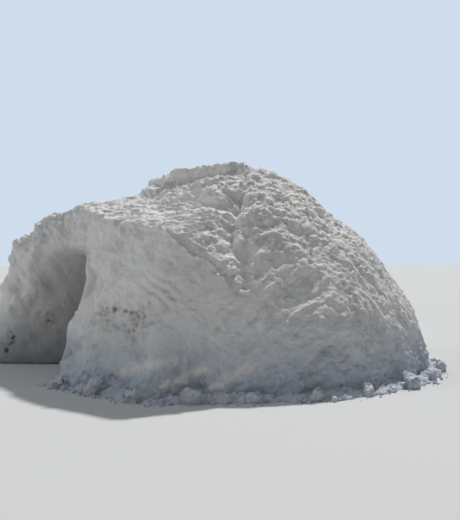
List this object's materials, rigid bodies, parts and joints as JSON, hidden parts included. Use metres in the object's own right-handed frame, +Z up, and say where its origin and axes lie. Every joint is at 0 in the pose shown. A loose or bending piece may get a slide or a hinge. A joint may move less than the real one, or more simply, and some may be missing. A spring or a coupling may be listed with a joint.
{
  "type": "snow igloo",
  "caption": "Heaped and dug-out snow igloo: a thick domed shell round a chamber, a splayed arched doorway with a wing wall, and loose snow banked at its foot.",
  "frame": {"origin": "centre of the igloo's footprint box, on the trodden ground that it stands on", "axes": "+X from the doorway to the back of the dome, +Y to the far side of the doorway, where the wing wall is, +Z up"},
  "size_m": [6.3475, 5.8617, 2.8432],
  "materials": {
    "packed_snow": "matte",
    "loose_snow": "matte",
    "fallen_snow": "matte"
  },
  "bodies": {
    "root": {"far_back_foot": "packed_snow", "far_back_waist": "packed_snow", "far_back_haunch": "packed_snow", "far_back_roof": "packed_snow", "far_flank_foot": "packed_snow", "far_flank_waist": "packed_snow", "far_flank_haunch": "packed_snow", "far_flank_roof": "packed_snow", "far_shoulder_foot": "packed_snow", "far_shoulder_waist": "packed_snow", "far_shoulder_haunch": "packed_snow", "far_shoulder_roof": "packed_snow", "far_jamb_foot": "packed_snow", "far_jamb_waist": "packed_snow", "far_jamb_haunch": "packed_snow", "far_jamb_roof": "packed_snow", "near_jamb_foot": "packed_snow", "near_jamb_waist": "packed_snow", "near_jamb_haunch": "packed_snow", "near_jamb_roof": "packed_snow", "near_shoulder_foot": "packed_snow", "near_shoulder_waist": "packed_snow", "near_shoulder_haunch": "packed_snow", "near_shoulder_roof": "packed_snow", "near_flank_foot": "packed_snow", "near_flank_waist": "packed_snow", "near_flank_haunch": "packed_snow", "near_flank_roof": "packed_snow", "near_back_foot": "packed_snow", "near_back_waist": "packed_snow", "near_back_haunch": "packed_snow", "near_back_roof": "packed_snow", "near_crown": "packed_snow", "far_crown": "packed_snow", "crest": "packed_snow", "far_back_bank": "loose_snow", "far_flank_bank": "loose_snow", "far_shoulder_bank": "loose_snow", "far_jamb_bank": "loose_snow", "near_jamb_bank": "loose_snow", "near_shoulder_bank": "loose_snow", "near_flank_bank": "loose_snow", "near_back_bank": "loose_snow", "clods": "fallen_snow"}
  },
  "joints": []
}
